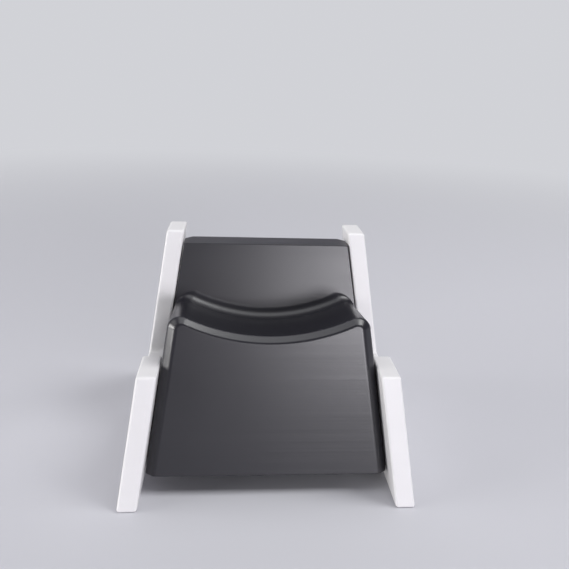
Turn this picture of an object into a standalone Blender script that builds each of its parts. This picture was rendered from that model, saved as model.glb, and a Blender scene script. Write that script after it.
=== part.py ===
"""Display stand: a dark cradle block between two splayed side plates.

Metres, +Z up, +X to the right and +Y away from the front. The origin is at the middle of the
footprint, on the surface that the stand rests on.
"""

import math

import bmesh
import bpy
from mathutils import Matrix, Vector

# Side plates
FOOT_WIDTH = 0.086
PLATE_THICKNESS = 0.0057
PLATE_SPLAY = math.radians(8.5)
PLATE_EDGE_LEAN = math.radians(14.6)
PLATE_EDGE_ROUND = 0.0007
PLATE_EDGE_STEPS = 2
LIP_HEIGHT = 0.0376
LIP_LENGTH = 0.014
NOTCH_FLOOR_HEIGHT = 0.0283
NOTCH_LENGTH = 0.0212
NOTCH_CORNER_ROUND = 0.0015
NOTCH_CORNER_STEPS = 5
UPRIGHT_HEIGHT = 0.068
UPRIGHT_TOP_LENGTH = 0.01245

# Cradle block
FACE_LEAN = math.radians(12.55)
FACE_SETBACK = 0.0065
REAR_SETBACK = 0.0058
FLOOR_GAP = 0.006
REST_BELOW_UPRIGHTS = 0.004
CORNER_CHAMFER = 0.0024
BLOCK_EDGE_ROUND = 0.0003

# Saddle in the top of the cradle block, round an axis square to the front face
SADDLE_RADIUS = 0.0583
SADDLE_RIM_CHAMFER = 0.0018
RIM_HEIGHT_UP_FACE = 0.0398
RIM_EDGE_RADIUS = 0.0012
HORN_RADIUS = 0.004
SADDLE_REST_FILLET = 0.004
SADDLE_STEPS = 32
HORN_STEPS = 10
RIM_EDGE_STEPS = 2
FILLET_STEPS = 6

# Pegs on the block that seat in blind sockets of the plates
PEG_RADIUS = 0.003
PEG_LENGTH = 0.0032
PEG_TIP_CHAMFER = 0.0005
PEG_ROOT = 0.002
PEG_HEIGHT = 0.017
PEG_INSET = 0.021
PEG_STEPS = 32

# Clearance between pieces that touch
SEAT_GAP = 0.0003

# How far a cutter runs past what it cuts
CUTTER_MARGIN = 0.002

# Faces that turn by less than the first lie flat; edges that turn by more than the others are
# shaded sharp, and are softened
FLAT_ANGLE = math.radians(0.05)
CREASE_ANGLE = math.radians(30)
CORNER_ANGLE = math.radians(35)

# Colour and roughness of the two plastics
WHITE_PLASTIC = ((0.80, 0.79, 0.80, 1.0), 0.5)
BLACK_PLASTIC = ((0.022, 0.022, 0.027, 1.0), 0.38)

EDGE_SLOPE = math.tan(PLATE_EDGE_LEAN)
FACE_SLOPE = math.tan(FACE_LEAN)
SPLAY_SLOPE = math.tan(PLATE_SPLAY)

LIP_RUN = EDGE_SLOPE * LIP_HEIGHT + LIP_LENGTH
UPRIGHT_RUN = FACE_SLOPE * (UPRIGHT_HEIGHT - NOTCH_FLOOR_HEIGHT) + UPRIGHT_TOP_LENGTH
FOOT_DEPTH = LIP_RUN + NOTCH_LENGTH + UPRIGHT_RUN + EDGE_SLOPE * UPRIGHT_HEIGHT
FRONT_Y = -FOOT_DEPTH / 2
REAR_Y = FOOT_DEPTH / 2
LIP_REAR_Y = FRONT_Y + LIP_RUN
NOTCH_REAR_Y = LIP_REAR_Y + NOTCH_LENGTH

BLOCK_TOP = UPRIGHT_HEIGHT - REST_BELOW_UPRIGHTS
BLOCK_FRONT_Y = FRONT_Y + EDGE_SLOPE * FLOOR_GAP + FACE_SETBACK
SADDLE_CENTRE_UP = RIM_HEIGHT_UP_FACE + SADDLE_RIM_CHAMFER + SADDLE_RADIUS


def clear_scene():
    """Remove every object of the scene."""
    for old in list(bpy.data.objects):
        bpy.data.objects.remove(old, do_unlink=True)


def make_material(name, finish):
    """Plastic material with one colour and one roughness."""
    color, roughness = finish
    material = bpy.data.materials.new(name)
    material.use_nodes = True
    shader = material.node_tree.nodes["Principled BSDF"]
    shader.inputs["Base Color"].default_value = color
    shader.inputs["Roughness"].default_value = roughness
    shader.inputs["Metallic"].default_value = 0.0
    return material


def face_outwards(bm):
    """Make the faces of a closed shape agree and point out."""
    bmesh.ops.recalc_face_normals(bm, faces=bm.faces)
    if bm.calc_volume(signed=True) < 0:
        bmesh.ops.reverse_faces(bm, faces=bm.faces)


def make_object(name, bm, material=None):
    """Turn a bmesh into a named object with outward faces and smooth round surfaces."""
    face_outwards(bm)
    mesh = bpy.data.meshes.new(name)
    bm.to_mesh(mesh)
    bm.free()
    mesh.shade_smooth()
    mesh.set_sharp_from_angle(angle=CREASE_ANGLE)
    obj = bpy.data.objects.new(name, mesh)
    bpy.context.scene.collection.objects.link(obj)
    if material:
        mesh.materials.append(material)
    return obj


def hide_cutter(obj):
    """Mark an object as a guide that is not part of the stand."""
    obj.hide_render = True
    obj.display_type = "WIRE"
    return obj


def add_boolean(target, other, operation):
    """Cut or join another object into the target."""
    modifier = target.modifiers.new(operation.title(), "BOOLEAN")
    modifier.operation = operation
    modifier.solver = "EXACT"
    modifier.object = other
    return modifier


def bevel_edges(bm, edges, width, segments):
    """Bevel some edges of a shape: one segment is a flat chamfer, more are a round."""
    bmesh.ops.bevel(
        bm,
        geom=edges,
        offset=width,
        offset_type="OFFSET",
        segments=segments,
        profile=0.5,
        affect="EDGES",
        material=-1,
    )


def outer_half_width(z):
    """Distance from the middle to a plate's outer face at height z."""
    return FOOT_WIDTH / 2 - SPLAY_SLOPE * z


def inner_half_width(z):
    """Distance from the middle to a plate's inner face at height z."""
    return outer_half_width(z) - PLATE_THICKNESS / math.cos(PLATE_SPLAY)


def block_half_width(z):
    """Distance from the middle to the cradle block's side at height z."""
    return inner_half_width(z) - SEAT_GAP / math.cos(PLATE_SPLAY)


def upright_front_y(z):
    """Front face of the rear uprights, which the block's back rest lines up with."""
    return NOTCH_REAR_Y + FACE_SLOPE * (z - NOTCH_FLOOR_HEIGHT)


def block_rear_y(z):
    """Rear face of the cradle block, which leans as the plates' rear edges do."""
    return REAR_Y - REAR_SETBACK - EDGE_SLOPE * z


def loft(rings):
    """Solid through rings of points: the first ring's face, extruded on from ring to ring."""
    bm = bmesh.new()
    cap = bm.faces.new([bm.verts.new(point) for point in rings[0]])
    inner_caps = []
    for ring in rings[1:]:
        extruded = bmesh.ops.extrude_face_region(bm, geom=[cap])
        cap = next(item for item in extruded["geom"] if isinstance(item, bmesh.types.BMFace))
        inner_caps.append(cap)
        for vert, point in zip(cap.verts, ring):
            vert.co = point
    bmesh.ops.delete(bm, geom=inner_caps[:-1], context="FACES_ONLY")
    bmesh.ops.dissolve_limit(bm, angle_limit=FLAT_ANGLE, verts=bm.verts, edges=bm.edges)
    face_outwards(bm)
    return bm


def edges_along(bm, start, end):
    """Edges whose two ends lie at the (y, z) points start and end, in either order."""
    reach = 1e-6

    def at(vert, point):
        return abs(vert.co.y - point[0]) < reach and abs(vert.co.z - point[1]) < reach

    found = []
    for edge in bm.edges:
        one, two = edge.verts
        if (at(one, start) and at(two, end)) or (at(one, end) and at(two, start)):
            found.append(edge)
    return found


def outer_corners(bm):
    """Edges where the shape has an outward corner."""
    face_outwards(bm)
    return [edge for edge in bm.edges if edge.calc_face_angle_signed() > CORNER_ANGLE]


def turned_solid(profile, steps):
    """Solid of revolution round local Z from (radius, z) points that start and end on the axis."""
    bm = bmesh.new()
    verts = [bm.verts.new((radius, 0.0, z)) for radius, z in profile]
    edges = [bm.edges.new(pair) for pair in zip(verts, verts[1:])]
    bmesh.ops.spin(
        bm,
        geom=verts + edges,
        cent=(0, 0, 0),
        axis=(0, 0, 1),
        angle=math.tau,
        steps=steps,
        use_merge=True,
    )
    bmesh.ops.remove_doubles(bm, verts=bm.verts, dist=1e-6)
    face_outwards(bm)
    return bm


def plate_outline():
    """Side view of a plate: front edge, lip, notch, rear upright and rear edge."""
    return [
        (FRONT_Y, 0.0),
        (FRONT_Y + EDGE_SLOPE * LIP_HEIGHT, LIP_HEIGHT),
        (LIP_REAR_Y, LIP_HEIGHT),
        (LIP_REAR_Y, NOTCH_FLOOR_HEIGHT),
        (NOTCH_REAR_Y, NOTCH_FLOOR_HEIGHT),
        (upright_front_y(UPRIGHT_HEIGHT), UPRIGHT_HEIGHT),
        (REAR_Y - EDGE_SLOPE * UPRIGHT_HEIGHT, UPRIGHT_HEIGHT),
        (REAR_Y, 0.0),
    ]


def peg_places(side):
    """Places of a side's two pegs on the block's side face, as matrices with Z pointing out."""
    turn = Matrix.Rotation(side * (math.pi / 2 - PLATE_SPLAY), 4, "Y")
    x = side * block_half_width(PEG_HEIGHT)
    rows = (FRONT_Y + PEG_INSET, REAR_Y - PEG_INSET)
    return [Matrix.Translation((x, y, PEG_HEIGHT)) @ turn for y in rows]


def peg_solids(places, radius, length, root, tip_chamfer):
    """One round peg at each place, from below the side face to its chamfered tip."""
    profile = [
        (0.0, -root),
        (radius, -root),
        (radius, length - tip_chamfer),
        (radius - tip_chamfer, length),
        (0.0, length),
    ]
    joined = bmesh.new()
    for place in places:
        peg = turned_solid(profile, PEG_STEPS)
        peg.transform(place)
        mesh = bpy.data.meshes.new("peg")
        peg.to_mesh(mesh)
        peg.free()
        joined.from_mesh(mesh)
        bpy.data.meshes.remove(mesh)
    return joined


def build_plate(name, side, material):
    """One splayed side plate with its notch, softened edges and blind peg sockets."""
    half_widths = (inner_half_width, outer_half_width)
    bm = loft([[(side * half(z), y, z) for y, z in plate_outline()] for half in half_widths])
    for y in (LIP_REAR_Y, NOTCH_REAR_Y):
        corner = (y, NOTCH_FLOOR_HEIGHT)
        bevel_edges(bm, edges_along(bm, corner, corner), NOTCH_CORNER_ROUND, NOTCH_CORNER_STEPS)
    bevel_edges(bm, outer_corners(bm), PLATE_EDGE_ROUND, PLATE_EDGE_STEPS)
    plate = make_object(name, bm, material)
    sockets = peg_solids(
        peg_places(side),
        PEG_RADIUS + SEAT_GAP,
        PEG_LENGTH + SEAT_GAP,
        CUTTER_MARGIN,
        PEG_TIP_CHAMFER,
    )
    cutter = hide_cutter(make_object(name + "_sockets", sockets))
    add_boolean(plate, cutter, "DIFFERENCE")
    return plate


def face_point(across, up, behind):
    """Point given by how far it is across the block's front face, up it and behind it."""
    return Vector((
        across,
        BLOCK_FRONT_Y + up * math.sin(FACE_LEAN) + behind * math.cos(FACE_LEAN),
        FLOOR_GAP + up * math.cos(FACE_LEAN) - behind * math.sin(FACE_LEAN),
    ))


def rest_behind_face():
    """Distance from the block's front face to its back rest, which leans as the face does."""
    run = NOTCH_REAR_Y - BLOCK_FRONT_Y
    rise = NOTCH_FLOOR_HEIGHT - FLOOR_GAP
    return run * math.cos(FACE_LEAN) - rise * math.sin(FACE_LEAN)


def side_slant():
    """How much the block narrows for each metre up its front face."""
    return SPLAY_SLOPE * math.cos(FACE_LEAN)


def horn_centre(behind):
    """Middle of the right horn's round, which touches both the block's side and its saddle.

    It lies one horn radius inside the side, on the line across = inner - slant * up, and one
    horn radius outside the saddle's circle. The two meet where a square equation says.
    """
    slant = side_slant()
    side = block_half_width(FLOOR_GAP) + SPLAY_SLOPE * math.sin(FACE_LEAN) * behind
    inner = side - HORN_RADIUS * math.hypot(1.0, slant)
    reach = SADDLE_RADIUS + HORN_RADIUS
    first = 1.0 + slant**2
    second = slant * inner + SADDLE_CENTRE_UP
    third = inner**2 + SADDLE_CENTRE_UP**2 - reach**2
    up = (second - math.sqrt(second**2 - first * third)) / first
    return Vector((inner - slant * up, up))


def outline_stations(behind):
    """Stations along the block's outline, from the right foot over the saddle to the left foot.

    Each is a point across and up the front face, the direction out of the block there, and the
    share of the way round the horn, which is 0 on the side and 1 on the saddle.
    """
    slant = side_slant()
    foot = Vector((block_half_width(FLOOR_GAP), behind * FACE_SLOPE))
    stations = [(foot, Vector((math.hypot(1.0, slant), 0.0)), 0.0)]
    saddle = Vector((0.0, SADDLE_CENTRE_UP))
    horn = horn_centre(behind)
    to_saddle = saddle - horn
    start = math.atan(slant)
    end = math.atan2(to_saddle.y, to_saddle.x)
    for step in range(HORN_STEPS + 1):
        share = step / HORN_STEPS
        angle = start + (end - start) * share
        outward = Vector((math.cos(angle), math.sin(angle)))
        stations.append((horn + outward * HORN_RADIUS, outward, share))
    mirrored = [
        (Vector((-point.x, point.y)), Vector((-outward.x, outward.y)), share)
        for point, outward, share in reversed(stations)
    ]
    for step in range(1, SADDLE_STEPS):
        angle = end + (math.pi - 2 * end) * step / SADDLE_STEPS
        outward = Vector((math.cos(angle), math.sin(angle)))
        stations.append((saddle - outward * SADDLE_RADIUS, outward, 1.0))
    return stations + mirrored


def rim_profile(chamfer):
    """(inset, behind) points of the chamfer that frames the front face, with both edges rounded."""
    run = RIM_EDGE_RADIUS * math.tan(math.pi / 8)
    profile = []
    for step in range(RIM_EDGE_STEPS + 1):
        angle = math.pi / 4 * step / RIM_EDGE_STEPS
        inset = chamfer + run - RIM_EDGE_RADIUS * math.sin(angle)
        profile.append((inset, RIM_EDGE_RADIUS * (1 - math.cos(angle))))
    return profile + [(behind, inset) for inset, behind in reversed(profile)]


def rest_profile(share):
    """(inset, behind) points of the fillet up to the back rest, which dies out at the sides."""
    reach = SADDLE_REST_FILLET * share**2
    profile = []
    for step in range(FILLET_STEPS + 1):
        angle = math.pi / 2 * step / FILLET_STEPS
        short_of_rest = SADDLE_REST_FILLET * (1 - math.sin(angle))
        profile.append((-reach * (1 - math.cos(angle)), rest_behind_face() - short_of_rest))
    return profile


def block_rings():
    """Rings of points round the block, one behind the other from its front face to its rear."""
    depth = rest_behind_face()
    columns = []
    for front, rear in zip(outline_stations(0.0), outline_stations(depth)):
        share = front[2]
        chamfer = CORNER_CHAMFER + (SADDLE_RIM_CHAMFER - CORNER_CHAMFER) * share
        column = []
        for inset, behind in rim_profile(chamfer) + rest_profile(share):
            point = front[0].lerp(rear[0], behind / depth)
            outward = front[1].lerp(rear[1], behind / depth)
            place = point - outward * inset
            column.append(face_point(place.x, place.y, behind))
        columns.append(column)
    rings = list(zip(*columns))
    rest_top_y = upright_front_y(BLOCK_TOP)
    rings.append(straight_ring(rings[-1], rest_top_y, rest_top_y))
    rings.append(straight_ring(rings[-1], block_rear_y(BLOCK_TOP), block_rear_y(FLOOR_GAP)))
    return rings


def straight_ring(ring, top_y, foot_y):
    """Ring round the block behind its saddle: two feet, and a straight top edge in even steps."""
    half_foot = block_half_width(FLOOR_GAP)
    half_top = block_half_width(BLOCK_TOP)
    steps = len(ring) - 3
    top = [(half_top * (1 - 2 * step / steps), top_y, BLOCK_TOP) for step in range(steps + 1)]
    return [(half_foot, foot_y, FLOOR_GAP), *top, (-half_foot, foot_y, FLOOR_GAP)]


def build_cradle(name, material):
    """Tapered block with chamfered corners, a saddle across its top and pegs on its sides."""
    bm = loft(block_rings())
    rear_edge = [(block_rear_y(z), z) for z in (BLOCK_TOP, FLOOR_GAP)]
    bevel_edges(bm, edges_along(bm, *rear_edge), CORNER_CHAMFER, 1)
    bevel_edges(bm, outer_corners(bm), BLOCK_EDGE_ROUND, 1)
    cradle = make_object(name, bm, material)
    pegs = peg_solids(
        peg_places(-1) + peg_places(1),
        PEG_RADIUS,
        PEG_LENGTH,
        PEG_ROOT,
        PEG_TIP_CHAMFER,
    )
    add_boolean(cradle, hide_cutter(make_object(name + "_pegs", pegs)), "UNION")
    return cradle


def main():
    """Build the three pieces of the stand."""
    clear_scene()
    build_cradle("centre_cradle", make_material("black_plastic", BLACK_PLASTIC))
    build_plate("left_side_plate", -1, make_material("white_plastic_left", WHITE_PLASTIC))
    build_plate("right_side_plate", 1, make_material("white_plastic_right", WHITE_PLASTIC))


main()
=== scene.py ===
"""Looks of a small display stand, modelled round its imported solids.

The stand is a printed black cradle block between two printed white side plates. Each piece is
modelled again here with softer edges and a finer saddle, in the place of its plain solid.
Everything is in metres, +Z up, with the front of the stand towards -Y.
"""

import logging
import math
from dataclasses import dataclass
from enum import Enum
from typing import Iterable, NamedTuple, Sequence

import bmesh
import bpy
from mathutils import Matrix, Vector


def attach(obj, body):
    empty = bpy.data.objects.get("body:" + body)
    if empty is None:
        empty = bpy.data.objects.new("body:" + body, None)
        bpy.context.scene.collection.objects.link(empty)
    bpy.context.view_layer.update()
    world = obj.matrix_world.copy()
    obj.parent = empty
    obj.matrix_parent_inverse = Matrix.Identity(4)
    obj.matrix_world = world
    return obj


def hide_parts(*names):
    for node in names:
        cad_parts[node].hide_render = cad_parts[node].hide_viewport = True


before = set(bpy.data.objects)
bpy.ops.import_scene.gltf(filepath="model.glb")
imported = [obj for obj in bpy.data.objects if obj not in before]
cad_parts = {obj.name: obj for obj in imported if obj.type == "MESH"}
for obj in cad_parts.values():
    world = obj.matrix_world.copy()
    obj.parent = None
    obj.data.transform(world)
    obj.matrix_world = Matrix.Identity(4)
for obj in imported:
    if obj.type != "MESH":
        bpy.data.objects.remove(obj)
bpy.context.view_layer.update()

PHOTO_SIDE = 569
ROOT_BODY = "root"
MM = 0.001
FLAT_ANGLE = math.radians(0.05)
CREASE_ANGLE = math.radians(28)
CORNER_ANGLE = math.radians(35)
SAME_PLACE = 1e-6
ROUND_PROFILE = 0.5
KEEP_MATERIAL = -1

# Sockets of a Mix node that mixes colours, which share their names with its other sockets
MIX_FIRST = 6
MIX_SECOND = 7
MIX_RESULT = 2

log = logging.getLogger("display_stand")


class Side(Enum):
    """Which side of the stand a piece is on, as the sign of its X."""

    LEFT = -1
    RIGHT = 1


class Slot(Enum):
    """Material slots of the record, which each piece is labelled with."""

    BLACK = "black_plastic"
    WHITE = "white_plastic"


class Combining(Enum):
    """How a second shape is combined with the first, as the boolean operation's name."""

    JOIN = "UNION"
    CUT = "DIFFERENCE"


@dataclass(frozen=True)
class StandSizes:
    """Driving sizes of the stand, the same as those of its solids.

    Lengths are in metres and angles in radians.
    """

    foot_width: float = 86 * MM
    plate_thickness: float = 5.7 * MM
    splay: float = math.radians(8.5)
    edge_lean: float = math.radians(14.6)
    lip_height: float = 37.6 * MM
    lip_length: float = 14 * MM
    notch_floor: float = 28.3 * MM
    notch_length: float = 21.2 * MM
    upright_height: float = 68 * MM
    upright_top_length: float = 12.45 * MM
    face_lean: float = math.radians(12.55)
    face_setback: float = 6.5 * MM
    rear_setback: float = 5.8 * MM
    floor_gap: float = 6 * MM
    rest_below_uprights: float = 4 * MM
    seat_gap: float = 0.3 * MM

    @property
    def foot_depth(self) -> float:
        """Length of a plate's foot.

        Returns:
            The sum of what stands on it: front edge and lip, notch, upright and rear edge.
        """
        lip = self.edge_slope * self.lip_height + self.lip_length
        upright = self.face_slope * (self.upright_height - self.notch_floor) + self.upright_top_length
        return lip + self.notch_length + upright + self.edge_slope * self.upright_height

    @property
    def front_y(self) -> float:
        """Y of the front feet."""
        return -self.foot_depth / 2

    @property
    def rear_y(self) -> float:
        """Y of the rear feet."""
        return self.foot_depth / 2

    @property
    def edge_slope(self) -> float:
        """How far a plate's front or rear edge leans in for each metre of height."""
        return math.tan(self.edge_lean)

    @property
    def face_slope(self) -> float:
        """How far the block's front face and back rest lean back for each metre of height."""
        return math.tan(self.face_lean)

    @property
    def splay_slope(self) -> float:
        """How far a plate leans in for each metre of height."""
        return math.tan(self.splay)

    @property
    def block_top(self) -> float:
        """Height of the block's back rest."""
        return self.upright_height - self.rest_below_uprights

    @property
    def lip_rear_y(self) -> float:
        """Y of the wall where the lip ends and the notch starts."""
        return self.front_y + self.edge_slope * self.lip_height + self.lip_length

    @property
    def notch_rear_y(self) -> float:
        """Y where the notch's floor meets the rear upright."""
        return self.lip_rear_y + self.notch_length

    def outer_half_width(self, z: float) -> float:
        """Distance from the middle to a plate's outer face at height z."""
        return self.foot_width / 2 - self.splay_slope * z

    def inner_half_width(self, z: float) -> float:
        """Distance from the middle to a plate's inner face at height z."""
        return self.outer_half_width(z) - self.plate_thickness / math.cos(self.splay)

    def block_half_width(self, z: float) -> float:
        """Distance from the middle to the block's side at height z."""
        return self.inner_half_width(z) - self.seat_gap / math.cos(self.splay)

    def upright_front_y(self, z: float) -> float:
        """Front face of the rear uprights at height z."""
        return self.notch_rear_y + self.face_slope * (z - self.notch_floor)

    def block_rear_y(self, z: float) -> float:
        """Rear face of the block at height z."""
        return self.rear_y - self.rear_setback - self.edge_slope * z


@dataclass(frozen=True)
class Wire:
    """A shader socket that takes part in Python expressions.

    Each operator adds a Math node to the sheet that the socket belongs to.
    """

    sheet: "ShaderSheet"
    socket: bpy.types.NodeSocket

    def _math(self, operation: str, first: "Wire | float", second: "Wire | float") -> "Wire":
        """Add a Math node.

        Args:
            operation: the Math node's operation.
            first: a wire or a number.
            second: a wire or a number.

        Returns:
            The node's result.
        """
        node = self.sheet.node("ShaderNodeMath", {"operation": operation}, {0: first, 1: second})
        return self.sheet.wire(node, "Value")

    def __add__(self, other: "Wire | float") -> "Wire":
        """Sum."""
        return self._math("ADD", self, other)

    def __radd__(self, other: float) -> "Wire":
        """Sum, with the number first."""
        return self._math("ADD", other, self)

    def __sub__(self, other: "Wire | float") -> "Wire":
        """Difference."""
        return self._math("SUBTRACT", self, other)

    def __rsub__(self, other: float) -> "Wire":
        """Difference, with the number first."""
        return self._math("SUBTRACT", other, self)

    def __mul__(self, other: "Wire | float") -> "Wire":
        """Product."""
        return self._math("MULTIPLY", self, other)

    def __rmul__(self, other: float) -> "Wire":
        """Product, with the number first."""
        return self._math("MULTIPLY", other, self)


class ShaderSheet:
    """The node tree of one material or world, emptied and ready for its own nodes."""

    def __init__(self, owner: bpy.types.Material | bpy.types.World, output: str) -> None:
        """Empty the tree and make its output.

        Args:
            owner: the new material or world.
            output: type name of its output node.
        """
        self.owner = owner
        self.owner.use_nodes = True
        self.tree = owner.node_tree
        self.tree.nodes.clear()
        self.output = self.tree.nodes.new(output)

    @classmethod
    def for_material(cls, name: str) -> "ShaderSheet":
        """Sheet of a new material."""
        return cls(bpy.data.materials.new(name), "ShaderNodeOutputMaterial")

    @classmethod
    def for_world(cls, name: str) -> "ShaderSheet":
        """Sheet of a new world."""
        return cls(bpy.data.worlds.new(name), "ShaderNodeOutputWorld")

    def node(
        self, kind: str, settings: dict[str, object], inputs: dict[str | int, object]
    ) -> bpy.types.Node:
        """Add one node.

        Args:
            kind: the node's type name.
            settings: values of the node's own properties.
            inputs: values or wires of its sockets, by name or number.

        Returns:
            The new node.
        """
        made = self.tree.nodes.new(kind)
        for key, value in settings.items():
            setattr(made, key, value)
        for key, value in inputs.items():
            if isinstance(value, Wire):
                self.tree.links.new(value.socket, made.inputs[key])
            else:
                made.inputs[key].default_value = value
        return made

    def wire(self, node: bpy.types.Node, output: str | int) -> Wire:
        """One output of a node, by name or number, for use in an expression."""
        return Wire(self, node.outputs[output])

    def finish(self, shader: bpy.types.Node) -> bpy.types.Material | bpy.types.World:
        """Join a shader to the output and hand over the material or world."""
        self.tree.links.new(shader.outputs[0], self.output.inputs["Surface"])
        return self.owner


@dataclass(frozen=True)
class PrintedPlastic:
    """Plastic laid down in level layers: a satin skin with fine lines all round.

    The lines follow height, so they are level on every side of the stand. Runs are wider bands of
    layers, clouds are soft patches and grain is the skin's own fine roughness.
    """

    name: str
    colour: tuple[float, float, float]
    tint: tuple[float, float, float]
    roughness: float
    line_depth: float
    run_depth: float
    specular: float = 0.5
    roughness_spread: float = 0.07
    line_pitch: float = 0.45 * MM
    run_pitch: float = 2.8 * MM
    line_length: float = 110 * MM
    line_detail: float = 1.5
    cloud_size: float = 26 * MM
    cloud_detail: float = 3.0
    cloud_share: float = 0.6
    grain_size: float = 0.3 * MM
    grain_depth: float = 0.001 * MM
    grain_detail: float = 2.0

    def build(self) -> bpy.types.Material:
        """Build the material.

        Returns:
            The finished material.
        """
        sheet = ShaderSheet.for_material(self.name)
        place = sheet.wire(sheet.node("ShaderNodeTexCoord", {}, {}), "Object")
        lines = self._layer_noise(sheet, place, self.line_pitch)
        runs = self._layer_noise(sheet, place, self.run_pitch)
        cloud = self._noise(sheet, place, 1.0 / self.cloud_size, self.cloud_detail)
        grain = self._noise(sheet, place, 1.0 / self.grain_size, self.grain_detail)
        height = self.line_depth * lines + self.run_depth * runs + self.grain_depth * grain
        bump = sheet.node("ShaderNodeBump", {}, {"Strength": 1.0, "Distance": 1.0, "Height": height})
        blend = {
            "Factor": cloud * self.cloud_share + runs * (1.0 - self.cloud_share),
            MIX_FIRST: (*self.colour, 1.0),
            MIX_SECOND: (*self.tint, 1.0),
        }
        colour = sheet.node("ShaderNodeMix", {"data_type": "RGBA"}, blend)
        rough = self.roughness - self.roughness_spread * (1 - cloud - lines)
        shader = sheet.node(
            "ShaderNodeBsdfPrincipled",
            {},
            {
                "Base Color": sheet.wire(colour, MIX_RESULT),
                "Roughness": rough,
                "Normal": sheet.wire(bump, "Normal"),
                "Specular IOR Level": self.specular,
            },
        )
        return sheet.finish(shader)

    def _noise(self, sheet: ShaderSheet, place: Wire, scale: float, detail: float) -> Wire:
        """Even noise, from 0 to 1, of a given scale and detail."""
        node = sheet.node("ShaderNodeTexNoise", {}, {"Vector": place, "Scale": scale, "Detail": detail})
        return sheet.wire(node, "Fac")

    def _layer_noise(self, sheet: ShaderSheet, place: Wire, pitch: float) -> Wire:
        """Noise that is nearly the same along a layer and changes with height.

        Args:
            sheet: the material's nodes.
            place: object coordinates.
            pitch: height of one change.

        Returns:
            A value from 0 to 1.
        """
        along = 1.0 / self.line_length
        settings = {"Vector": place, "Scale": (along, along, 1.0 / pitch)}
        mapping = sheet.node("ShaderNodeMapping", {}, settings)
        return self._noise(sheet, sheet.wire(mapping, "Vector"), 1.0, self.line_detail)


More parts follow.
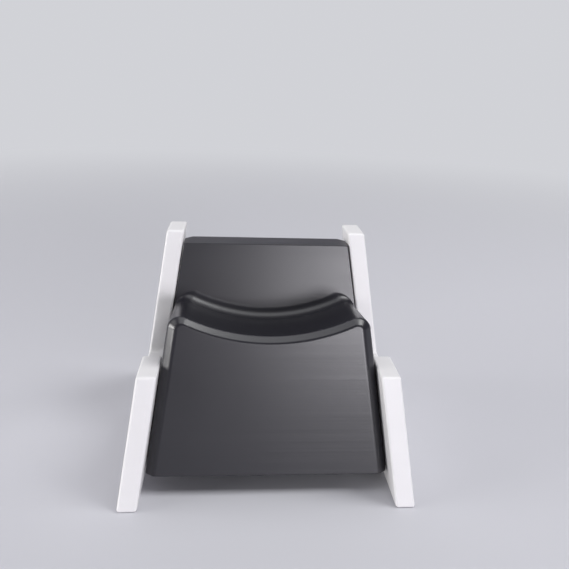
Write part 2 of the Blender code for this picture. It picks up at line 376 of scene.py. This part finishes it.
class Shape:
    """A bmesh with the few operations that the stand's pieces need."""

    def __init__(self) -> None:
        """Start with an empty bmesh."""
        self.bm = bmesh.new()

    @classmethod
    def lofted(cls, rings: Sequence[Sequence[Vector]]) -> "Shape":
        """Solid through rings of points: the first ring's face, extruded on from ring to ring.

        Args:
            rings: rings with the same number of points, from one end of the solid to the other.

        Returns:
            The closed shape, with its flat faces whole.
        """
        shape = cls()
        bm = shape.bm
        cap = bm.faces.new([bm.verts.new(point) for point in rings[0]])
        inner_caps = []
        for ring in rings[1:]:
            grown = bmesh.ops.extrude_face_region(bm, geom=[cap])
            cap = next(item for item in grown["geom"] if isinstance(item, bmesh.types.BMFace))
            inner_caps.append(cap)
            for vert, point in zip(cap.verts, ring):
                vert.co = point
        bmesh.ops.delete(bm, geom=inner_caps[:-1], context="FACES_ONLY")
        bmesh.ops.dissolve_limit(bm, angle_limit=FLAT_ANGLE, verts=bm.verts, edges=bm.edges)
        return shape.face_outwards()

    @classmethod
    def turned(cls, profile: Sequence[tuple[float, float]], steps: int) -> "Shape":
        """Solid turned round local Z.

        Args:
            profile: (radius, z) points that start and end on the axis.
            steps: steps in the full turn.

        Returns:
            The closed shape.
        """
        shape = cls()
        verts = [shape.bm.verts.new((radius, 0.0, z)) for radius, z in profile]
        edges = [shape.bm.edges.new(pair) for pair in zip(verts, verts[1:])]
        bmesh.ops.spin(
            shape.bm,
            geom=verts + edges,
            cent=(0, 0, 0),
            axis=(0, 0, 1),
            angle=math.tau,
            steps=steps,
            use_merge=True,
        )
        bmesh.ops.remove_doubles(shape.bm, verts=shape.bm.verts, dist=SAME_PLACE)
        return shape.face_outwards()

    def face_outwards(self) -> "Shape":
        """Make the faces agree and point out.

        Returns:
            This shape.
        """
        bmesh.ops.recalc_face_normals(self.bm, faces=self.bm.faces)
        if self.bm.calc_volume(signed=True) < 0:
            bmesh.ops.reverse_faces(self.bm, faces=self.bm.faces)
        return self

    def placed(self, matrix: Matrix) -> "Shape":
        """Move the shape by a matrix."""
        self.bm.transform(matrix)
        return self

    def taking_in(self, others: Iterable["Shape"]) -> "Shape":
        """Add other shapes to this one, each still a body of its own.

        Args:
            others: the shapes to add.

        Returns:
            This shape.
        """
        for other in others:
            mesh = bpy.data.meshes.new("taken_in")
            other.bm.to_mesh(mesh)
            self.bm.from_mesh(mesh)
            bpy.data.meshes.remove(mesh)
        return self

    def edges_along(
        self, start: tuple[float, float], end: tuple[float, float]
    ) -> list[bmesh.types.BMEdge]:
        """Find edges by where their ends are seen from the side.

        Args:
            start: (y, z) of one end.
            end: (y, z) of the other end, which may be the same.

        Returns:
            The edges that run from one to the other, in either order.
        """
        found = []
        for edge in self.bm.edges:
            ends = [(vert.co.y, vert.co.z) for vert in edge.verts]
            for one, two in (ends, ends[::-1]):
                if math.dist(one, start) < SAME_PLACE and math.dist(two, end) < SAME_PLACE:
                    found.append(edge)
                    break
        return found

    def outer_corners(self) -> list[bmesh.types.BMEdge]:
        """Edges where the shape has an outward corner."""
        self.face_outwards()
        return [edge for edge in self.bm.edges if edge.calc_face_angle_signed(0.0) > CORNER_ANGLE]

    def bevelled(
        self, edges: list[bmesh.types.BMEdge], width: float, segments: int
    ) -> "Shape":
        """Bevel some edges.

        Args:
            edges: the edges.
            width: offset along each neighbouring face.
            segments: 1 for a flat chamfer, more for a round.

        Returns:
            This shape.
        """
        bmesh.ops.bevel(
            self.bm,
            geom=edges,
            offset=width,
            offset_type="OFFSET",
            segments=segments,
            profile=ROUND_PROFILE,
            affect="EDGES",
            material=KEEP_MATERIAL,
        )
        return self

    def combined(self, other: "Shape", combining: Combining) -> "Shape":
        """Cut another shape out of this one, or join it on.

        Args:
            other: the second shape.
            combining: whether it is joined or cut.

        Returns:
            The result, as a new shape.
        """
        target = self.to_object("combined_target")
        tool = other.to_object("combined_tool")
        modifier = target.modifiers.new("combine", "BOOLEAN")
        modifier.operation = combining.value
        modifier.solver = "EXACT"
        modifier.object = tool
        evaluated = target.evaluated_get(bpy.context.evaluated_depsgraph_get())
        mesh = evaluated.to_mesh()
        result = Shape()
        result.bm.from_mesh(mesh)
        evaluated.to_mesh_clear()
        for old in (target, tool):
            data = old.data
            bpy.data.objects.remove(old)
            bpy.data.meshes.remove(data)
        return result

    def to_object(self, name: str) -> bpy.types.Object:
        """Turn the shape into an object and let the bmesh go.

        Args:
            name: the object's name.

        Returns:
            The object, linked to the scene.
        """
        mesh = bpy.data.meshes.new(name)
        self.bm.to_mesh(mesh)
        self.bm.free()
        made = bpy.data.objects.new(name, mesh)
        bpy.context.scene.collection.objects.link(made)
        return made


@dataclass(frozen=True)
class PegRow:
    """The two round pegs on each side of the block, and the plates' sockets for them."""

    sizes: StandSizes
    radius: float = 3 * MM
    length: float = 3.2 * MM
    tip_chamfer: float = 0.5 * MM
    root: float = 2 * MM
    height: float = 17 * MM
    inset: float = 21 * MM
    steps: int = 64

    def shape(self, side: Side, clearance: float = 0.0) -> Shape:
        """Pegs of one side, or the cutter for their sockets.

        Args:
            side: the side that the pegs stand out of.
            clearance: how much wider and longer a socket is than its peg, or nothing for the pegs.

        Returns:
            The two pegs, as one shape with two bodies.
        """
        radius = self.radius + clearance
        length = self.length + clearance
        profile = [
            (0.0, -self.root),
            (radius, -self.root),
            (radius, length - self.tip_chamfer),
            (radius - self.tip_chamfer, length),
            (0.0, length),
        ]
        turn = Matrix.Rotation(side.value * (math.pi / 2 - self.sizes.splay), 4, "Y")
        x = side.value * self.sizes.block_half_width(self.height)
        pegs = []
        for y in (self.sizes.front_y + self.inset, self.sizes.rear_y - self.inset):
            place = Matrix.Translation((x, y, self.height)) @ turn
            pegs.append(Shape.turned(profile, self.steps).placed(place))
        return Shape().taking_in(pegs)


@dataclass
class Piece:
    """A finished piece of the stand: it stands for a solid, rides on the body and has a finish."""

    name: str
    node: str
    slot: Slot

    def dress(self, shape: Shape, material: bpy.types.Material) -> bpy.types.Object:
        """Turn a shape into the piece.

        Args:
            shape: the modelled shape.
            material: its material.

        Returns:
            The piece, attached to the root body.
        """
        made = shape.to_object(self.name)
        made.data.shade_smooth()
        made.data.set_sharp_from_angle(angle=CREASE_ANGLE)
        weighted = made.modifiers.new("even shading", "WEIGHTED_NORMAL")
        weighted.keep_sharp = True
        made.data.materials.append(material)
        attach(made, ROOT_BODY)
        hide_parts(self.node)
        log.info("%s: %d faces", self.name, len(made.data.polygons))
        return made


class Station(NamedTuple):
    """One place on the block's outline, across and up its front face.

    The share says how far round the horn it is: 0 on the side and 1 on the saddle.
    """

    place: Vector
    outward: Vector
    share: float


@dataclass
class CradleBlock:
    """The black block: a framing chamfer, two round horns, a saddle between them, a back rest."""

    sizes: StandSizes
    finish: PrintedPlastic
    corner_chamfer: float = 2.4 * MM
    edge_round: float = 0.3 * MM
    edge_segments: int = 3
    saddle_radius: float = 58.3 * MM
    rim_chamfer: float = 1.8 * MM
    rim_height_up_face: float = 39.8 * MM
    rim_edge_radius: float = 1.2 * MM
    side_edge_radius: float = 2.2 * MM
    horn_radius: float = 4 * MM
    rest_fillet: float = 4 * MM
    saddle_steps: int = 96
    horn_steps: int = 28
    rim_edge_steps: int = 6
    fillet_steps: int = 14

    @property
    def front_y(self) -> float:
        """Y of the front face's lower edge."""
        s = self.sizes
        return s.front_y + s.edge_slope * s.floor_gap + s.face_setback

    @property
    def side_slant(self) -> float:
        """How much the block narrows on each side for each metre up its front face."""
        return self.sizes.splay_slope * math.cos(self.sizes.face_lean)

    @property
    def saddle_centre(self) -> Vector:
        """Middle of the saddle's circle, across and up the front face."""
        return Vector((0.0, self.rim_height_up_face + self.rim_chamfer + self.saddle_radius))

    @property
    def rest_behind_face(self) -> float:
        """Distance from the front face to the back rest, which leans as the face does.

        Returns:
            The distance, measured square to the face.
        """
        s = self.sizes
        run = s.notch_rear_y - self.front_y
        rise = s.notch_floor - s.floor_gap
        return run * math.cos(s.face_lean) - rise * math.sin(s.face_lean)

    def face_point(self, across: float, up: float, behind: float) -> Vector:
        """Turn a place on the leaning front face into a point in the stand's frame.

        Args:
            across: distance to the right of the middle.
            up: distance up the face from its lower edge.
            behind: distance behind the face, square to it.

        Returns:
            The point.
        """
        lean = self.sizes.face_lean
        y = self.front_y + up * math.sin(lean) + behind * math.cos(lean)
        z = self.sizes.floor_gap + up * math.cos(lean) - behind * math.sin(lean)
        return Vector((across, y, z))

    def horn_centre(self, behind: float) -> Vector:
        """Middle of the right horn's round, which touches both the side and the saddle.

        It lies one horn radius inside the side, on the line across = inner - slant * up, and one
        horn radius outside the saddle's circle. The two meet at the lower place where
        square * up**2 - 2 * half_linear * up + constant is zero.

        Args:
            behind: distance behind the front face.

        Returns:
            The place across and up the front face.
        """
        s = self.sizes
        slant = self.side_slant
        side = s.block_half_width(s.floor_gap) + s.splay_slope * math.sin(s.face_lean) * behind
        inner = side - self.horn_radius * math.hypot(1.0, slant)
        centre = self.saddle_centre.y
        square = 1.0 + slant**2
        half_linear = slant * inner + centre
        constant = inner**2 + centre**2 - (self.saddle_radius + self.horn_radius) ** 2
        up = (half_linear - math.sqrt(half_linear**2 - square * constant)) / square
        return Vector((inner - slant * up, up))

    def stations(self, behind: float) -> list[Station]:
        """Stations along the outline, from the right foot over the saddle to the left foot.

        Args:
            behind: distance behind the front face.

        Returns:
            The stations in order.
        """
        s = self.sizes
        slant = self.side_slant
        foot = Vector((s.block_half_width(s.floor_gap), behind * s.face_slope))
        right = [Station(foot, Vector((math.hypot(1.0, slant), 0.0)), 0.0)]
        horn = self.horn_centre(behind)
        to_saddle = self.saddle_centre - horn
        start = math.atan(slant)
        end = math.atan2(to_saddle.y, to_saddle.x)
        for step in range(self.horn_steps + 1):
            share = step / self.horn_steps
            outward = self._direction(start + (end - start) * share)
            right.append(Station(horn + outward * self.horn_radius, outward, share))
        saddle = []
        for step in range(1, self.saddle_steps):
            outward = self._direction(end + (math.pi - 2 * end) * step / self.saddle_steps)
            saddle.append(Station(self.saddle_centre - outward * self.saddle_radius, outward, 1.0))
        flip = Vector((-1.0, 1.0))
        left = [Station(one.place * flip, one.outward * flip, one.share) for one in reversed(right)]
        return [*right, *saddle, *left]

    def _direction(self, angle: float) -> Vector:
        """Unit vector at an angle from the across direction."""
        return Vector((math.cos(angle), math.sin(angle)))

    def rim_profile(self, share: float) -> list[tuple[float, float]]:
        """Chamfer round the front face, with both of its edges rounded.

        Args:
            share: the station's share. The chamfer narrows and its edges sharpen with it.

        Returns:
            (inset, behind) points from the front face to the side or saddle.
        """
        chamfer = self.corner_chamfer + (self.rim_chamfer - self.corner_chamfer) * share
        radius = self.side_edge_radius + (self.rim_edge_radius - self.side_edge_radius) * share
        turn = math.pi / 4
        run = radius * math.tan(turn / 2)
        near = []
        for step in range(self.rim_edge_steps + 1):
            angle = turn * step / self.rim_edge_steps
            near.append((chamfer + run - radius * math.sin(angle), radius * (1 - math.cos(angle))))
        return near + [(behind, inset) for inset, behind in reversed(near)]

    def rest_profile(self, share: float) -> list[tuple[float, float]]:
        """Fillet up to the back rest, which dies out towards the sides.

        Args:
            share: the station's share.

        Returns:
            (inset, behind) points up to the back rest.
        """
        reach = self.rest_fillet * share**2
        profile = []
        for step in range(self.fillet_steps + 1):
            angle = math.pi / 2 * step / self.fillet_steps
            short_of_rest = self.rest_fillet * (1 - math.sin(angle))
            profile.append((-reach * (1 - math.cos(angle)), self.rest_behind_face - short_of_rest))
        return profile

    def foot_drop(self, behind: float) -> float:
        """How far the underside dips: it starts square to the leaning face and levels out behind.

        Args:
            behind: distance behind the front face.

        Returns:
            The dip below level, measured down the front face.
        """
        rim_end = self.rim_profile(0.0)[-1][1]
        levelling = (self.rest_behind_face - behind) / (self.rest_behind_face - rim_end)
        return self.sizes.face_slope * min(behind, rim_end * levelling)

    def rings(self) -> list[list[Vector]]:
        """Rings of points round the block, one behind the other from its face to its rear.

        Returns:
            Rings with the same number of points.
        """
        depth = self.rest_behind_face
        stations = self.stations(0.0)
        feet = (stations[0], stations[-1])
        columns = []
        for front, rest in zip(stations, self.stations(depth)):
            column = []
            for inset, behind in self.rim_profile(front.share) + self.rest_profile(front.share):
                outward = front.outward.lerp(rest.outward, behind / depth)
                place = front.place.lerp(rest.place, behind / depth) - outward * inset
                if front in feet:
                    drop = self.foot_drop(behind)
                    place += Vector((math.copysign(self.side_slant * drop, place.x), -drop))
                column.append(self.face_point(place.x, place.y, behind))
            columns.append(column)
        rings = list(zip(*columns))
        s = self.sizes
        rest_top = s.upright_front_y(s.block_top)
        rings.append(self._straight_ring(len(columns), rest_top, rest_top))
        rear = (s.block_rear_y(s.block_top), s.block_rear_y(s.floor_gap))
        rings.append(self._straight_ring(len(columns), *rear))
        return rings

    def _straight_ring(self, count: int, top_y: float, foot_y: float) -> list[Vector]:
        """Ring round the block behind its saddle: a foot, a top edge in even steps, a foot.

        Args:
            count: number of points.
            top_y: Y of the top edge.
            foot_y: Y of the feet.

        Returns:
            The points, from the right foot to the left one.
        """
        s = self.sizes
        half_foot = s.block_half_width(s.floor_gap)
        half_top = s.block_half_width(s.block_top)
        feet = [Vector((sign * half_foot, foot_y, s.floor_gap)) for sign in (1, -1)]
        steps = count - len(feet) - 1
        top = [Vector((half_top * (1 - 2 * i / steps), top_y, s.block_top)) for i in range(steps + 1)]
        return [feet[0], *top, feet[1]]

    def build(self, pegs: PegRow) -> bpy.types.Object:
        """Model and dress the block.

        Args:
            pegs: the pegs on its sides.

        Returns:
            The finished piece.
        """
        s = self.sizes
        block = Shape.lofted(self.rings())
        rear_edge = [(s.block_rear_y(z), z) for z in (s.block_top, s.floor_gap)]
        block.bevelled(block.edges_along(*rear_edge), self.corner_chamfer, 1)
        block.bevelled(block.outer_corners(), self.edge_round, self.edge_segments)
        both = Shape().taking_in([pegs.shape(side) for side in Side])
        block = block.combined(both, Combining.JOIN)
        piece = Piece("cradle_block", "centre_cradle", Slot.BLACK)
        return piece.dress(block, self.finish.build())


@dataclass
class SidePlate:
    """A white plate: front lip, notch, rear upright, softened edges and blind sockets."""

    sizes: StandSizes
    side: Side
    edge_round: float = 0.8 * MM
    edge_segments: int = 4
    notch_round: float = 1.5 * MM
    notch_segments: int = 8

    def outline(self) -> list[tuple[float, float]]:
        """Side view of the plate: front edge, lip, notch, upright and rear edge.

        Returns:
            (y, z) points, from the front foot over the top to the rear foot.
        """
        s = self.sizes
        return [
            (s.front_y, 0.0),
            (s.front_y + s.edge_slope * s.lip_height, s.lip_height),
            (s.lip_rear_y, s.lip_height),
            (s.lip_rear_y, s.notch_floor),
            (s.notch_rear_y, s.notch_floor),
            (s.upright_front_y(s.upright_height), s.upright_height),
            (s.rear_y - s.edge_slope * s.upright_height, s.upright_height),
            (s.rear_y, 0.0),
        ]

    def build(self, material: bpy.types.Material, pegs: PegRow) -> bpy.types.Object:
        """Model and dress the plate.

        Args:
            material: the white plastic.
            pegs: the pegs that its sockets take.

        Returns:
            The finished piece.
        """
        sign = self.side.value
        half_widths = (self.sizes.inner_half_width, self.sizes.outer_half_width)
        rings = [[Vector((sign * half(z), y, z)) for y, z in self.outline()] for half in half_widths]
        plate = Shape.lofted(rings)
        for y in (self.sizes.lip_rear_y, self.sizes.notch_rear_y):
            corner = (y, self.sizes.notch_floor)
            plate.bevelled(plate.edges_along(corner, corner), self.notch_round, self.notch_segments)
        plate.bevelled(plate.outer_corners(), self.edge_round, self.edge_segments)
        plate = plate.combined(pegs.shape(self.side, self.sizes.seat_gap), Combining.CUT)
        word = self.side.name.lower()
        piece = Piece(f"{word}_plate", f"{word}_side_plate", Slot.WHITE)
        return piece.dress(plate, material)


@dataclass(frozen=True)
class Softbox:
    """A soft rectangular lamp that faces a point on the stand."""

    name: str
    place: tuple[float, float, float]
    width: float
    height: float
    power: float
    colour: tuple[float, float, float] = (1.0, 1.0, 1.0)
    aim: tuple[float, float, float] = (0.0, 0.0, 0.03)

    def build(self) -> None:
        """Hang the lamp."""
        data = bpy.data.lights.new(self.name, "AREA")
        data.shape = "RECTANGLE"
        data.size = self.width
        data.size_y = self.height
        data.energy = self.power
        data.color = self.colour
        lamp = bpy.data.objects.new(self.name, data)
        bpy.context.scene.collection.objects.link(lamp)
        lamp.location = self.place
        facing = Vector(self.aim) - Vector(self.place)
        lamp.rotation_euler = facing.to_track_quat("-Z", "Y").to_euler()


@dataclass
class Studio:
    """The pale floor with its sweep, the lamps, the world's light and the camera."""

    floor_colour: tuple[float, float, float] = (0.58, 0.58, 0.62)
    floor_roughness: float = 0.7
    floor_half_width: float = 4.0
    floor_front: float = -4.0
    floor_rear: float = 1.6
    sweep_height: float = 4.0
    sweep_radius: float = 0.9
    sweep_segments: int = 24
    room_colour: tuple[float, float, float] = (0.94, 0.95, 1.0)
    room_light: float = 0.12
    room_seen: float = 0.68
    fade_start: float = 0.15
    fade_end: float = 0.75
    focal_px: float = 604.86
    sensor_width_mm: float = 36.0
    camera_place: tuple[float, float, float] = (-0.01014, -0.18254, 0.11995)
    camera_pitch: float = math.radians(19.848)
    camera_yaw: float = math.radians(4.907)
    camera_roll: float = math.radians(2.357)
    camera_nearest: float = 5 * MM

    def build(self) -> None:
        """Set up everything that isn't part of the stand."""
        self._floor()
        self._world()
        for lamp in self._lamps():
            lamp.build()
        self._camera()
        bpy.context.scene.view_settings.view_transform = "Standard"

    def _lamps(self) -> list[Softbox]:
        """Choose the lamps: two low panels, two high ones and one overhead.

        Returns:
            The lamps.
        """
        return [
            Softbox(
                name="face_panel",
                place=(0.83, -2.24, 0.29),
                width=1.12,
                height=0.54,
                power=30.0,
                colour=(0.97, 0.95, 1.0),
            ),
            Softbox(
                name="left_panel",
                place=(-2.08, -0.32, 0.26),
                width=1.28,
                height=0.48,
                power=31.0,
                colour=(1.0, 0.985, 0.97),
            ),
            Softbox(name="right_key", place=(0.50, -0.05, 0.80), width=0.40, height=0.40, power=4.2),
            Softbox(name="left_fill", place=(-0.75, 0.05, 0.60), width=0.40, height=0.40, power=0.8),
            Softbox(
                name="overhead",
                place=(0.0, 0.10, 1.10),
                width=0.90,
                height=0.90,
                power=4.2,
                colour=(0.97, 0.98, 1.0),
            ),
        ]

    def _floor(self) -> None:
        """Floor that sweeps up into a backdrop behind the stand."""
        shape = Shape()
        points = [(self.floor_front, 0.0), (self.floor_rear, 0.0), (self.floor_rear, self.sweep_height)]
        verts = [shape.bm.verts.new((-self.floor_half_width, y, z)) for y, z in points]
        for pair in zip(verts, verts[1:]):
            shape.bm.edges.new(pair)
        bmesh.ops.bevel(
            shape.bm,
            geom=[verts[1]],
            offset=self.sweep_radius,
            offset_type="OFFSET",
            segments=self.sweep_segments,
            profile=ROUND_PROFILE,
            affect="VERTICES",
            material=KEEP_MATERIAL,
        )
        grown = bmesh.ops.extrude_edge_only(shape.bm, edges=list(shape.bm.edges))
        across = [v for v in grown["geom"] if isinstance(v, bmesh.types.BMVert)]
        bmesh.ops.translate(shape.bm, verts=across, vec=(2 * self.floor_half_width, 0, 0))
        bmesh.ops.recalc_face_normals(shape.bm, faces=shape.bm.faces)
        floor = shape.to_object("floor")
        floor.data.shade_smooth()
        floor.data.materials.append(self._floor_material())

    def _floor_material(self) -> bpy.types.Material:
        """Plain pale matt floor, which fades into the pale room away from the stand.

        Returns:
            The material.
        """
        sheet = ShaderSheet.for_material("pale_floor")
        lit = {"Base Color": (*self.floor_colour, 1.0), "Roughness": self.floor_roughness}
        near = sheet.node("ShaderNodeBsdfPrincipled", {}, lit)
        room = {"Color": (*self.room_colour, 1.0), "Strength": self.room_seen}
        far = sheet.node("ShaderNodeEmission", {}, room)
        place = sheet.wire(sheet.node("ShaderNodeTexCoord", {}, {}), "Object")
        away = sheet.node("ShaderNodeVectorMath", {"operation": "LENGTH"}, {0: place})
        reach = {
            "Value": sheet.wire(away, "Value"),
            "From Min": self.fade_start,
            "From Max": self.fade_end,
        }
        fade = sheet.node("ShaderNodeMapRange", {"interpolation_type": "SMOOTHSTEP"}, reach)
        seen = sheet.wire(sheet.node("ShaderNodeLightPath", {}, {}), "Is Camera Ray")
        joined = {
            "Fac": seen * sheet.wire(fade, "Result"),
            1: sheet.wire(near, "BSDF"),
            2: sheet.wire(far, "Emission"),
        }
        return sheet.finish(sheet.node("ShaderNodeMixShader", {}, joined))

    def _world(self) -> None:
        """Faint even light from all round, which the camera sees as a pale room."""
        sheet = ShaderSheet.for_world("soft_room")
        seen = sheet.wire(sheet.node("ShaderNodeLightPath", {}, {}), "Is Camera Ray")
        joined = {"Fac": seen}
        for socket, strength in enumerate((self.room_light, self.room_seen), start=1):
            room = {"Color": (*self.room_colour, 1.0), "Strength": strength}
            joined[socket] = sheet.wire(sheet.node("ShaderNodeBackground", {}, room), "Background")
        bpy.context.scene.world = sheet.finish(sheet.node("ShaderNodeMixShader", {}, joined))

    def _camera(self) -> None:
        """Camera at the photograph's angle."""
        data = bpy.data.cameras.new("camera")
        data.sensor_width = self.sensor_width_mm
        data.lens = self.sensor_width_mm * self.focal_px / PHOTO_SIDE
        data.clip_start = self.camera_nearest
        camera = bpy.data.objects.new("camera", data)
        bpy.context.scene.collection.objects.link(camera)
        turn = Matrix.Rotation(-self.camera_yaw, 4, "Z")
        tip = Matrix.Rotation(math.pi / 2 - self.camera_pitch, 4, "X")
        roll = Matrix.Rotation(self.camera_roll, 4, "Z")
        camera.matrix_world = Matrix.Translation(self.camera_place) @ turn @ tip @ roll
        bpy.context.scene.camera = camera


BLACK_FINISH = PrintedPlastic(
    name="printed_black",
    colour=(0.011, 0.0105, 0.015),
    tint=(0.015, 0.0145, 0.020),
    roughness=0.32,
    specular=0.65,
    line_depth=0.009 * MM,
    run_depth=0.026 * MM,
)

WHITE_FINISH = PrintedPlastic(
    name="printed_white",
    colour=(0.81, 0.80, 0.81),
    tint=(0.77, 0.76, 0.77),
    roughness=0.46,
    line_depth=0.012 * MM,
    run_depth=0.030 * MM,
)


def main() -> None:
    """Build the stand and the studio."""
    logging.basicConfig(level=logging.INFO, format="%(name)s %(message)s")
    sizes = StandSizes()
    pegs = PegRow(sizes)
    Studio().build()
    CradleBlock(sizes, BLACK_FINISH).build(pegs)
    white = WHITE_FINISH.build()
    for side in Side:
        SidePlate(sizes, side).build(white, pegs)


if __name__ == "__main__":
    main()
